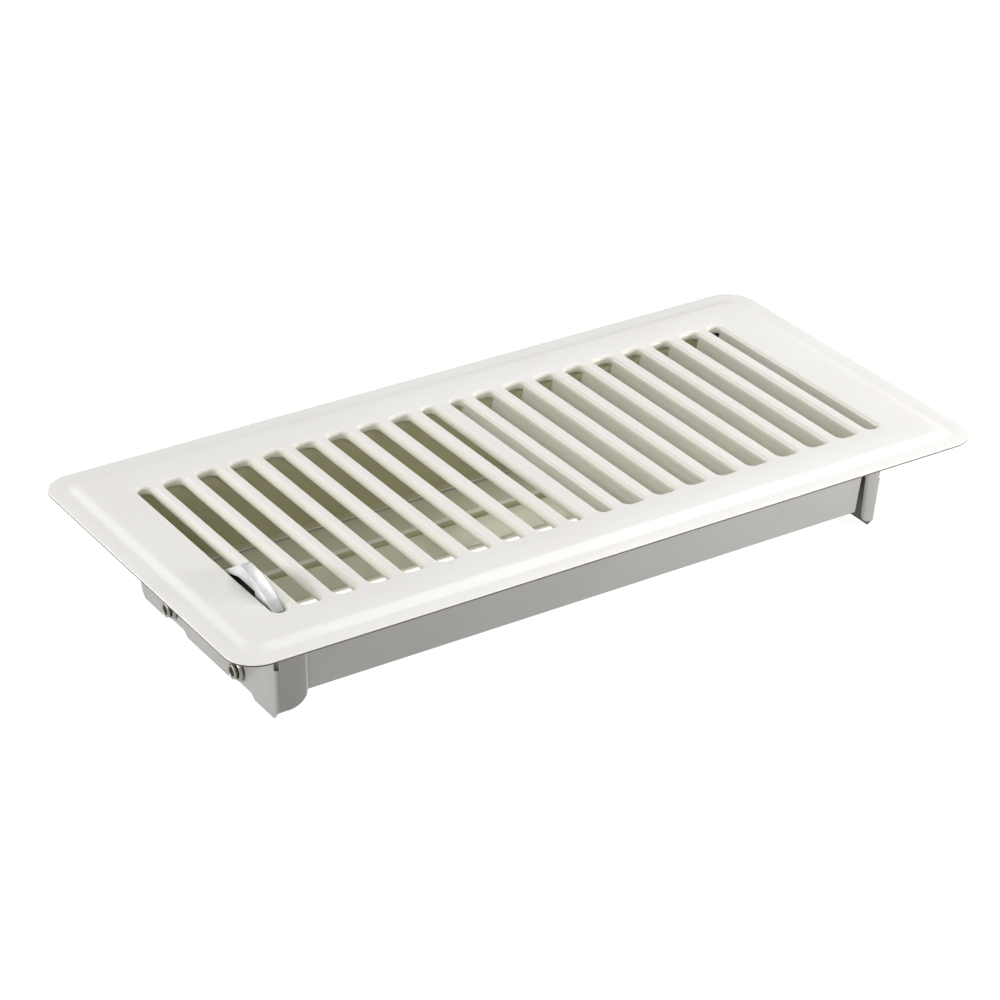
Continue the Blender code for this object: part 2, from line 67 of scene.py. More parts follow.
# Faceplate
SHEET = 0.0009
FIELD_RISE = 0.0011
RIM_Z = FIELD_TOP - SHEET - FIELD_RISE
PLATE_CORNER = 0.0105
LEFT_TRIM = 0.0009
STEP_IN, STEP_OUT = 0.0050, 0.0104
PITCH = 0.01223
SLOT_WIDTH = 0.0076
SLOT_HALF_LENGTH = 0.0468
SLOT_CORNER = 0.0024
THIRD_SLOT_START = -0.0937
LIP_DEPTH = 0.0028
LIP_WALL = 0.0008
LIP_ROLL = 0.0011
LIP_ROLL_LEFT = 0.0008
LIP_ROLL_RIGHT = 0.0021
LIP_FOOT = ((0.0, 0.0003), (0.0001, 0.0001), (0.0003, 0.0), (0.0006, 0.0), (0.0008, 0.0002))
FIRST_OPENING = (-0.1152, -0.1102)
MIDDLE_OPENING = (-0.0081, -0.00315)
FIN_THICKNESS = 0.0006
FIN_LEAN = 0.0015
FIN_HALF_LENGTH = 0.0450

# Valve box: sizes at the rim, since every side leans inwards with depth
GAP = 0.0003
BOX_SHEET = 0.0008
TAPER_X = 0.049
TAPER_Y = 0.093
TAPER_WALL_END = 0.087
END_OUTER_X = 0.1171
END_INNER_X = END_OUTER_X - BOX_SHEET
WALL_OUTER_Y = 0.0486
WALL_FOOT = 0.0030
WALL_BEND = 0.0009
FLANGE_Y = 0.0550
FLANGE_ENDS = (-0.1040, 0.1035)
TAB_OUTER_Y = WALL_OUTER_Y + GAP + BOX_SHEET
TAB_DEPTH = 0.0338
NOTCH_HALF = 0.0080
NOTCH_RISE = 0.0017
CORNER_CUT = 0.0032
END_BEND = 0.0013
LEFT_TAB_X, LEFT_TAB_ROUND = 0.1058, 0.0070
RIGHT_TAB_X, RIGHT_TAB_ROUND = 0.1097, 0.0042
TAB_EDGE = (0.0009, 0.0005)
FOLD_SLOT_DEPTH = 0.0179
FOLD_SLOT_RADIUS = 0.0009

# Pins, blades, link
PIN_RADIUS = 0.0020
HEAD_RADIUS = 0.0026
JOURNAL_RADIUS = 0.0014
PIN_BORE = 0.0016
PIN_STEP_X = 0.1146
FRONT_BLADE_OUTER = 0.0190
BACK_BLADE_OUTER = 0.0207
FRONT_BLADE_INNER = 0.0235
BACK_BLADE_INNER = 0.0178
BEAD_RADIUS = 0.0021
EAR_HEIGHT = 0.0090
EAR_X = 0.1075
EAR_FOOT = 0.0028
EAR_ROUND = 0.0026
LINK_X = 0.1087
LINK_HALF_SHEET = 0.0004
LINK_ROUND = 0.0023
LINK_PIN_RADIUS = 0.0012

# Lever
LEVER_RADIUS = 0.0377
LEVER_INNER = 0.0262
LEVER_OPEN_Y = -0.0335
LEVER_SHEET = 0.0009
LEVER_SIDE_Z = FIELD_TOP + 0.0009
LEVER_FRONT_DEG = -36.0
LEVER_TOP_DEG = -2.0
LEVER_BACK = (0.0092, 0.0309)
LEVER_HEEL_Y = -PIVOT_Y - 0.0182
LEVER_TOE_Y = -PIVOT_Y - 0.0065
LEVER_RIVETS = (-0.0145, -0.0095)
RIVET_X = -0.1125
RIVET_RADIUS = 0.0010

# Camera and studio
CAMERA_PLACE = (-0.51177, -0.80809, 0.50204 + RIM_Z)
CAMERA_TURN = (1.07611, 0.00379, -0.56181)
CAMERA_LENS = 118.3
FLOOR_Z = -0.0004
FLOOR_GLOW = 0.90
SKY_LEVEL_LOW, SKY_LEVEL_HIGH = 0.32, 0.46

# Segments round a full turn
ROUND_STEPS = 40


# ---------------------------------------------------------------- materials

def noise(tree, coordinates, scale, detail, stretch=(1.0, 1.0, 1.0), roughness=0.55):
    """Noise value over the piece; a small stretch along an axis draws it out that way."""
    mapping = tree.nodes.new("ShaderNodeMapping")
    mapping.inputs["Scale"].default_value = stretch
    tree.links.new(coordinates, mapping.inputs["Vector"])
    node = tree.nodes.new("ShaderNodeTexNoise")
    node.inputs["Scale"].default_value = scale
    node.inputs["Detail"].default_value = detail
    node.inputs["Roughness"].default_value = roughness
    tree.links.new(mapping.outputs["Vector"], node.inputs["Vector"])
    return node.outputs["Fac"]


def mix(tree, factor, first, second):
    """Blend two colours; each argument is a socket or a value."""
    node = tree.nodes.new("ShaderNodeMix")
    node.data_type = "RGBA"
    for socket, value in ((node.inputs[0], factor), (node.inputs[6], first), (node.inputs[7], second)):
        if isinstance(value, bpy.types.NodeSocket):
            tree.links.new(value, socket)
        elif isinstance(value, tuple):
            socket.default_value = (*value, 1.0)
        else:
            socket.default_value = value
    return node.outputs[2]


def scaled(tree, source, low, high, from_low=0.3, from_high=0.7):
    """The source's range from_low..from_high mapped to low..high."""
    node = tree.nodes.new("ShaderNodeMapRange")
    node.inputs["From Min"].default_value = from_low
    node.inputs["From Max"].default_value = from_high
    node.inputs["To Min"].default_value = low
    node.inputs["To Max"].default_value = high
    tree.links.new(source, node.inputs["Value"])
    return node.outputs["Result"]


def times(tree, first, second):
    node = tree.nodes.new("ShaderNodeMath")
    node.operation = "MULTIPLY"
    tree.links.new(first, node.inputs[0])
    if isinstance(second, bpy.types.NodeSocket):
        tree.links.new(second, node.inputs[1])
    else:
        node.inputs[1].default_value = second
    return node.outputs["Value"]


def edge_mask(tree):
    """One along the piece's edges and nought on its flats."""
    bevel = tree.nodes.new("ShaderNodeBevel")
    bevel.samples = 4
    bevel.inputs["Radius"].default_value = 0.0003
    geometry = tree.nodes.new("ShaderNodeNewGeometry")
    dot = tree.nodes.new("ShaderNodeVectorMath")
    dot.operation = "DOT_PRODUCT"
    tree.links.new(bevel.outputs["Normal"], dot.inputs[0])
    tree.links.new(geometry.outputs["Normal"], dot.inputs[1])
    return scaled(tree, dot.outputs["Value"], 1.0, 0.0, 0.80, 0.99)


def metal_finish(name, dark, light, edge, roughness, metallic, cloud, grain, stretch=(1.0, 1.0, 1.0),
                 bump=0.00003, wear=0.5, rough_vary=0.06, coat=0.0, recess_shade_colour=None, recess_shade_reach=0.0025):
    """Cloudy colour, worn edges, uneven gloss and a fine surface; sizes are in features per metre."""
    made = bpy.data.materials.new(name)
    made.use_nodes = True
    tree = made.node_tree
    shader = tree.nodes["Principled BSDF"]
    place = tree.nodes.new("ShaderNodeTexCoord").outputs["Object"]
    clouds = noise(tree, place, cloud, 4.0)
    fine = noise(tree, place, grain, 3.0, stretch)
    spots = noise(tree, place, cloud * 9.0, 5.0, roughness=0.7)

    colour = mix(tree, scaled(tree, clouds, 0.0, 1.0), dark, light)
    colour = mix(tree, scaled(tree, fine, 0.0, 0.35), colour, light)
    worn = times(tree, times(tree, edge_mask(tree), scaled(tree, spots, 0.2, 1.0)), wear)
    colour = mix(tree, worn, colour, edge)
    # Painted shade: ambient occlusion darkens the colour in recesses, and tints it warm on the enamels.
    corner = tree.nodes.new("ShaderNodeAmbientOcclusion")
    corner.samples = 4
    corner.inputs["Distance"].default_value = recess_shade_reach
    recess_shade_amount = times(tree, scaled(tree, corner.outputs["AO"], 1.0, 0.0, 0.25, 0.8), 0.4)
    colour = mix(tree, recess_shade_amount, colour, recess_shade_colour or tuple(0.6 * channel for channel in dark))
    tree.links.new(colour, shader.inputs["Base Color"])

    gloss = scaled(tree, fine, roughness - rough_vary, roughness + rough_vary)
    tree.links.new(gloss, shader.inputs["Roughness"])
    shader.inputs["Metallic"].default_value = metallic
    shader.inputs["Coat Weight"].default_value = coat
    shader.inputs["Coat Roughness"].default_value = 0.12
    height = tree.nodes.new("ShaderNodeBump")
    height.inputs["Distance"].default_value = bump
    height.inputs["Strength"].default_value = 0.6
    tree.links.new(fine, height.inputs["Height"])
    tree.links.new(height.outputs["Normal"], shader.inputs["Normal"])
    return made


# The enamels' recess colour and reach set their painted shade in hollows.
ENAMEL = metal_finish(
    "warm_white_enamel", (0.790, 0.768, 0.730), (0.835, 0.818, 0.788), (0.93, 0.925, 0.91),
    0.42, 0.0, 16.0, 620.0, bump=0.00002, wear=0.35, coat=0.12, recess_shade_colour=(0.62, 0.57, 0.43), recess_shade_reach=0.006)
# Darker, yellower cream enamel: painted shade on slot flanks and fins.
SHADED_LOUVRE = metal_finish(
    "cream_enamel_painted_shade", (0.745, 0.722, 0.640), (0.800, 0.780, 0.705), (0.93, 0.92, 0.88),
    0.36, 0.0, 16.0, 620.0, bump=0.00002, wear=0.4, coat=0.2, recess_shade_colour=(0.60, 0.56, 0.42), recess_shade_reach=0.004)
# Paler enamel: painted highlight along the rolled slot edges.
PAINTED_HIGHLIGHT = metal_finish(
    "painted_highlight_enamel", (0.835, 0.820, 0.780), (0.870, 0.856, 0.822), (0.93, 0.925, 0.90),
    0.34, 0.0, 40.0, 620.0, bump=0.00001, wear=0.2, coat=0.3)
# Near-black: painted shade on the underside of the rim's outer edge.
SHADED_RIM_EDGE = metal_finish(
    "painted_shade_rim_edge", (0.045, 0.042, 0.035), (0.085, 0.080, 0.068), (0.30, 0.29, 0.26),
    0.50, 0.2, 60.0, 1500.0, wear=0.4)
BOX_GREY = metal_finish(
    "grey_box_coat", (0.262, 0.254, 0.242), (0.282, 0.275, 0.264), (0.50, 0.49, 0.46),
    0.42, 0.06, 22.0, 900.0, stretch=(0.12, 1.0, 1.0), wear=0.5)
# Darker grey: painted shade on the left front tab.
SHADED_TAB_GREY = metal_finish(
    "grey_coat_painted_shade", (0.168, 0.162, 0.155), (0.190, 0.184, 0.176), (0.46, 0.45, 0.43),
    0.42, 0.06, 22.0, 900.0, wear=0.8)
# Near-black: painted shade for hollows and edges turned from the light.
SHADE = metal_finish(
    "painted_shade_dark", (0.030, 0.028, 0.020), (0.070, 0.067, 0.048), (0.20, 0.19, 0.15),
    0.55, 0.1, 60.0, 900.0, wear=0.3)
BOX_INSIDE = metal_finish(
    "olive_box_inside", (0.555, 0.537, 0.342), (0.649, 0.637, 0.437), (0.70, 0.69, 0.54),
    0.46, 0.05, 24.0, 900.0, stretch=(0.12, 1.0, 1.0), wear=0.5)
DAMPER = metal_finish(
    "damper_olive_steel", (0.708, 0.690, 0.549), (0.850, 0.832, 0.684), (0.85, 0.84, 0.74),
    0.40, 0.12, 26.0, 1100.0, stretch=(0.08, 1.0, 1.0), wear=0.7, rough_vary=0.09)
ZINC = metal_finish(
    "worn_zinc", (0.20, 0.195, 0.165), (0.36, 0.355, 0.31), (0.62, 0.61, 0.55),
    0.36, 0.75, 160.0, 2400.0, bump=0.00004, wear=0.9, rough_vary=0.12)
# Pale finish: painted highlight on the bead's top and the wall foot's toe.
PALE_HIGHLIGHT = metal_finish(
    "painted_highlight_pale", (0.90, 0.88, 0.77), (0.95, 0.93, 0.84), (0.97, 0.96, 0.90),
    0.36, 0.0, 40.0, 1100.0, stretch=(0.08, 1.0, 1.0), wear=0.5)
BRIGHT = metal_finish(
    "bright_plating", (0.44, 0.445, 0.44), (0.78, 0.79, 0.80), (0.95, 0.96, 0.97),
    0.36, 0.35, 110.0, 900.0, stretch=(1.0, 0.45, 0.45), wear=0.4, rough_vary=0.05, bump=0.00003)


# ---------------------------------------------------------------- outlines

def arc(centre, radius, start, end, steps):
    return [
        (
            centre[0] + radius * math.cos(math.radians(start + (end - start) * k / steps)),
            centre[1] + radius * math.sin(math.radians(start + (end - start) * k / steps)),
        )
        for k in range(steps + 1)
    ]


def rounded_rectangle(x0, x1, y0, y1, radius, steps):
    points = []
    corners = ((x1, y1, 0, -1, -1), (x0, y1, 90, 1, -1), (x0, y0, 180, 1, 1), (x1, y0, 270, -1, 1))
    for x, y, start, sx, sy in corners:
        points += arc((x + sx * radius, y + sy * radius), radius, start, start + 90, steps)
    return points


def fillet(path, radii, steps=6):
    """The path with each inner corner replaced by an arc of its radius."""
    made = [Vector(path[0])]
    for before, corner, after, radius in zip(path, path[1:], path[2:], radii):
        corner = Vector(corner)
        back = (Vector(before) - corner).normalized()
        ahead = (Vector(after) - corner).normalized()
        half = back.angle(ahead) / 2
        reach = radius / math.tan(half)
        centre = corner + (back + ahead).normalized() * radius / math.sin(half)
        first = corner + back * reach - centre
        turn = first.angle_signed(corner + ahead * reach - centre)
        for k in range(steps + 1):
            spin = Matrix.Rotation(-turn * k / steps, 2)
            made.append(centre + spin @ first)
    made.append(Vector(path[-1]))
    return made


def strip(path, radii, thickness, steps=6):
    """Closed outline of sheet metal that follows a path, with rounded ends."""
    line = fillet(path, radii, steps)
    half = thickness / 2
    sides = ([], [])
    for i, point in enumerate(line):
        along = (line[min(i + 1, len(line) - 1)] - line[max(i - 1, 0)]).normalized()
        across = Vector((-along.y, along.x))
        sides[0].append(point + across * half)
        sides[1].append(point - across * half)
    outline = []
    for side, tip, inward in ((sides[0], -1, line[-2] - line[-1]), (sides[1][::-1], -1, line[1] - line[0])):
        inward = inward.normalized() * half * 0.5
        other = sides[1][-1] if side is sides[0] else sides[0][0]
        end = side[tip]
        across = (other - end) * 0.25
        outline += side[:tip] + [end + inward, end + across * 0.4 + inward * 0.25, end + across]
        outline += [other - across, other - across * 0.4 + inward * 0.25]
    return [tuple(point) for point in outline]


# ---------------------------------------------------------------- solids

def add_loft(bm, loops, capped=True):
    """Skin a row of equal loops, closed at both ends unless capped is False."""
    rings = [[bm.verts.new(point) for point in loop] for loop in loops]
    count = len(rings[0])
    for lower, upper in zip(rings, rings[1:]):
        for i in range(count):
            j = (i + 1) % count
            bm.faces.new((lower[i], lower[j], upper[j], upper[i]))
    if capped:
        bm.faces.new(list(reversed(rings[0])))
        bm.faces.new(rings[-1])
    return rings


def add_prism(bm, outline, axis, start, end):
    """Extrude an outline along X (outline is Y,Z), Y (X,Z) or Z (X,Y)."""
    place = {
        "X": lambda along, p: (along, p[0], p[1]),
        "Y": lambda along, p: (p[0], along, p[1]),
        "Z": lambda along, p: (p[0], p[1], along),
    }[axis]
    add_loft(bm, [[place(start, p) for p in outline], [place(end, p) for p in outline]])


def add_turned(bm, profile, place, steps=ROUND_STEPS):
    """Solid of revolution; place(along, a, b) puts a turned point in the frame."""
    first = bm.verts.new(place(profile[0][0], 0.0, 0.0))
    last = bm.verts.new(place(profile[-1][0], 0.0, 0.0))
    rings = []
    for along, radius in profile[1:-1]:
        rings.append([
            bm.verts.new(place(
                along,
                radius * math.cos(2.0 * math.pi * k / steps),
                radius * math.sin(2.0 * math.pi * k / steps),
            ))
            for k in range(steps)
        ])
    for k in range(steps):
        j = (k + 1) % steps
        bm.faces.new((first, rings[0][k], rings[0][j]))
        bm.faces.new((last, rings[-1][j], rings[-1][k]))
        for low, high in zip(rings, rings[1:]):
            bm.faces.new((low[k], high[k], high[j], low[j]))


def along_x(y, z):
    return lambda along, a, b: (along, y + a, z + b)


def along_z(x, y, z):
    return lambda along, a, b: (x + a, y + b, z + along)


def soften(profile, radius, steps=3):
    """A turned profile with its corners rounded."""
    made = [profile[0]]
    for before, corner, after in zip(profile, profile[1:], profile[2:]):
        here = Vector(corner)
        back = Vector(before) - here
        ahead = Vector(after) - here
        reach = min(radius, back.length * 0.45, ahead.length * 0.45)
        start = here + back.normalized() * reach
        end = here + ahead.normalized() * reach
        for k in range(steps + 1):
            t = k / steps
            made.append(tuple(start * (1 - t) ** 2 + here * 2 * t * (1 - t) + end * t ** 2))
    made.append(profile[-1])
    return made


def raw_object(name, bm):
    bmesh.ops.recalc_face_normals(bm, faces=bm.faces)
    mesh = bpy.data.meshes.new(name)
    bm.to_mesh(mesh)
    bm.free()
    made = bpy.data.objects.new(name, mesh)
    bpy.context.scene.collection.objects.link(made)
    return made


def bake_modifiers(target):
    bpy.context.view_layer.update()
    graph = bpy.context.evaluated_depsgraph_get()
    mesh = bpy.data.meshes.new_from_object(target.evaluated_get(graph))
    target.modifiers.clear()
    old = target.data
    target.data = mesh
    bpy.data.meshes.remove(old)


def combine(target, bm, operation):
    """Apply an exact boolean with the solids in bm and drop the cutter."""
    tool = raw_object("tool", bm)
    step = target.modifiers.new("step", "BOOLEAN")
    step.operation = operation
    step.solver = "EXACT"
    step.object = tool
    bake_modifiers(target)
    bpy.data.objects.remove(tool)


def finish_piece(piece, body, finish, nodes, bevel=0.0, segments=2, sharp=32.0):
    """Round the edges, shade, paint, and hand the piece to its CAD body."""
    bm = bmesh.new()
    bm.from_mesh(piece.data)
    bmesh.ops.remove_doubles(bm, verts=bm.verts, dist=0.000004)
    bmesh.ops.dissolve_degenerate(bm, edges=bm.edges, dist=0.000004)
    bm.to_mesh(piece.data)
    bm.free()
    if bevel:
        step = piece.modifiers.new("edges", "BEVEL")
        step.width = bevel
        step.segments = segments
        step.limit_method = "ANGLE"
        step.angle_limit = math.radians(38.0)
        step.miter_outer = "MITER_ARC"
        step.harden_normals = False
        bake_modifiers(piece)
    for polygon in piece.data.polygons:
        polygon.use_smooth = True
    piece.data.set_sharp_from_angle(angle=math.radians(sharp))
    piece.data.materials.clear()
    piece.data.materials.append(finish)
    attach(piece, body)
    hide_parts(*nodes)
    return piece


def paint_faces(piece, finish, chosen):
    """Give a second finish to the faces that chosen(centre, normal) picks."""
    piece.data.materials.append(finish)
    for polygon in piece.data.polygons:
        if chosen(polygon.center, polygon.normal):
            polygon.material_index = len(piece.data.materials) - 1


# ---------------------------------------------------------------- faceplate

def slot_openings():
    """The twenty openings (x0, x1), mirrored about the centre; end and centre ones are narrower."""
    left = [FIRST_OPENING]
    for k in range(8):
        start = THIRD_SLOT_START + (k - 1) * PITCH
        left.append((start, start + SLOT_WIDTH))
    left.append(MIDDLE_OPENING)
    return left + [(-x1, -x0) for x0, x1 in reversed(left)]


def slot_edge(opening):
    """The opening's outline as (x, y, outward x, outward y)."""
    x0, x1 = opening
    radius = min(SLOT_CORNER, (x1 - x0) / 2 - 0.0002)
    y1 = SLOT_HALF_LENGTH
    points = []
    corners = ((x1, y1, 0, -1, -1), (x0, y1, 90, 1, -1), (x0, -y1, 180, 1, 1), (x1, -y1, 270, -1, 1))
    for x, y, start, sx, sy in corners:
        for k in range(9):
            turn = math.radians(start + 90 * k / 8)
            out_x, out_y = math.cos(turn), math.sin(turn)
            points.append((x + sx * radius + radius * out_x, y + sy * radius + radius * out_y, out_x, out_y))
    return points


def slot_roll(opening, degrees):
    """The rolled edge of an opening: level with the field at 0 degrees, upright at 90."""
    turn = math.radians(degrees)
    loop = []
    for x, y, out_x, out_y in slot_edge(opening):
        side_roll = LIP_ROLL_RIGHT if out_x > 0.0 else LIP_ROLL_LEFT
        roll = LIP_ROLL + (side_roll - LIP_ROLL) * out_x ** 2
        spread = roll * (1 - math.sin(turn))
        loop.append((x + spread * out_x, y + spread * out_y, FIELD_TOP - roll * (1 - math.cos(turn))))
    return loop


def slot_wall(opening, spread, z):
    return [(x + spread * out_x, y + spread * out_y, z) for x, y, out_x, out_y in slot_edge(opening)]


def plate_outline(inset, z):
    flat = rounded_rectangle(
        inset + LEFT_TRIM - HALF_LENGTH, HALF_LENGTH - inset, inset - HALF_WIDTH, HALF_WIDTH - inset,
        PLATE_CORNER - 0.75 * inset, 14)
    return [(x, y, z) for x, y in flat]


def close_with_holes(bm, rings):
    """Fill the flat area between an outer ring and the rings inside it."""
    edges = []
    for ring in rings:
        for i, vertex in enumerate(ring):
            edges.append(bm.edges.get((vertex, ring[(i + 1) % len(ring)])))
    bmesh.ops.triangle_fill(bm, use_beauty=True, edges=edges)


def is_outer_edge(point):
    """True within half a sheet of the plate's outline."""
    x = abs(point.x - LEFT_TRIM / 2) - (HALF_LENGTH - LEFT_TRIM / 2 - PLATE_CORNER)
    y = abs(point.y) - (HALF_WIDTH - PLATE_CORNER)
    reach = math.hypot(x, y) if x > 0.0 and y > 0.0 else max(x, y)
    return reach > PLATE_CORNER - SHEET * 0.6


def build_faceplate():
    """One stamping: stepped rim, raised field, rolled slot lips and curved louvre fins."""
    bm = bmesh.new()
    loops = [plate_outline(STEP_OUT + SHEET * 0.3, RIM_Z + FIELD_RISE)]
    for k in range(7, -1, -1):
        t = k / 7
        swell = FIELD_RISE * (3 * t * t - 2 * t ** 3)
        loops.append(plate_outline(STEP_IN + (STEP_OUT - STEP_IN) * t + SHEET * 0.3, RIM_Z + swell))
    edge = SHEET / 2
    for degrees in range(-90, 91, 20):
        turn = math.radians(degrees)
        loops.append(plate_outline(edge - edge * math.cos(turn), RIM_Z + edge + edge * math.sin(turn)))
    for k in range(9):
        t = k / 8
        swell = FIELD_RISE * (3 * t * t - 2 * t ** 3)
        loops.append(plate_outline(STEP_IN + (STEP_OUT - STEP_IN) * t, RIM_Z + SHEET + swell))
    shell = add_loft(bm, loops, capped=False)

    top_rings = [shell[-1]]
    under_rings = [shell[0]]
    for opening in slot_openings():
        loops = [slot_roll(opening, degrees) for degrees in range(0, 91, 15)]
        bottom = FIELD_TOP - LIP_DEPTH
        for spread, lift in LIP_FOOT:
            loops.append(slot_wall(opening, spread, bottom + lift))
        loops.append(slot_wall(opening, LIP_WALL, RIM_Z + FIELD_RISE))
        rings = add_loft(bm, loops, capped=False)
        top_rings.append(rings[0])
        under_rings.append(rings[-1])
    close_with_holes(bm, top_rings)
    close_with_holes(bm, under_rings)

    # Louvres: the sheet on one long side of each slot goes on down as a curved fin.
    for index, (x0, x1) in enumerate(slot_openings()):
        if index == 0:
            continue
        side = 1.0 if index < 10 else -1.0
        hinge = x0 if index < 10 else x1
        face = hinge + side * 0.00003
        centre = face - side * FIN_THICKNESS / 2
        path = [
            (centre, FIELD_TOP - LIP_ROLL * 0.75), (centre, FIELD_TOP - LIP_DEPTH),
            (centre + side * FIN_LEAN, FIN_BOTTOM + 0.00002),
        ]
        add_prism(bm, strip(path, [0.006], FIN_THICKNESS, 5), "Y", -FIN_HALF_LENGTH, FIN_HALF_LENGTH)
    piece = raw_object("grille_face", bm)
    finish_piece(piece, "frame", ENAMEL, ["faceplate"], sharp=40.0)
    # Painted shade: slot flanks and fins below the field take the darker cream enamel.
    paint_faces(piece, SHADED_LOUVRE, lambda centre, normal: (
        centre.z < FIELD_TOP - 0.0001 and normal.z < 0.86 and not is_outer_edge(centre)
        and abs(centre.y) < SLOT_HALF_LENGTH + LIP_WALL))
    # Painted highlight: a line of paler enamel on the left-facing rolled slot edges.
    paint_faces(piece, PAINTED_HIGHLIGHT, lambda centre, normal: (
        0.86 < normal.z < 0.98 and normal.x < -0.17 and abs(centre.y) < SLOT_HALF_LENGTH))
    # Painted shade: the lower part of the rim's outer edge is near-black.
    paint_faces(piece, SHADED_RIM_EDGE, lambda centre, normal: (
        centre.z < RIM_Z + SHEET * 0.8 and is_outer_edge(centre)))


# ---------------------------------------------------------------- valve box

def lean_wall(piece, side):
    """Lean a side wall inwards with depth; its right end is cut back at a slant."""
    for vertex in piece.data.vertices:
        depth = max(0.0, RIM_Z - vertex.co.z)
        vertex.co.y -= side * TAPER_Y * depth
        if vertex.co.x < -0.1:
            vertex.co.x += TAPER_X * depth
        if vertex.co.x > 0.1:
            vertex.co.x -= TAPER_WALL_END * depth


def lean_end_plate(piece, side):
    """Lean an end plate and its tabs inwards; the right tabs keep an upright free edge."""
    for vertex in piece.data.vertices:
        depth = max(0.0, RIM_Z - vertex.co.z)
        share = 1.0
        if side > 0:
            share = min(1.0, (abs(vertex.co.x) - RIGHT_TAB_X) / (END_INNER_X - RIGHT_TAB_X))
        vertex.co.x -= side * TAPER_X * depth * share
        if abs(vertex.co.y) > 0.040:
            vertex.co.y -= math.copysign(TAPER_Y, vertex.co.y) * depth


def build_side_wall(name, node, side):
    """Long wall with a foot turned in below and a flange turned out under the field."""
    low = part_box(node)[0]
    middle = side * (WALL_OUTER_Y - BOX_SHEET / 2)
    top = RIM_Z + FIELD_RISE - GAP
    bm = bmesh.new()
    path = [
        (middle, top), (middle, low.z + BOX_SHEET / 2),
        (middle - side * (WALL_FOOT + BOX_SHEET / 2), low.z + BOX_SHEET / 2),
    ]
    add_prism(bm, strip(path, [WALL_BEND], BOX_SHEET), "X", -END_INNER_X + GAP, WALL_HIGH.x)
    path = [
        (middle, top - 0.0030), (middle, top - BOX_SHEET / 2), (side * FLANGE_Y, top - BOX_SHEET / 2),
    ]
    add_prism(bm, strip(path, [0.0008], BOX_SHEET * 0.92), "X", *FLANGE_ENDS)
    piece = raw_object(name, bm)
    lean_wall(piece, side)
    finish_piece(piece, "frame", BOX_GREY, [node], bevel=0.00012)
    paint_faces(piece, BOX_INSIDE, lambda centre, normal: normal.y * side < -0.6)
    # Painted light: the foot's top takes the lighter olive inside colour.
    paint_faces(piece, BOX_INSIDE, lambda centre, normal: centre.z < low.z + 0.0015 and normal.z > 0.5)
    # Painted highlight: the foot's inward-facing toe takes the pale finish.
    paint_faces(piece, PALE_HIGHLIGHT, lambda centre, normal: centre.z < low.z + 0.0009 and normal.y * side < -0.5)


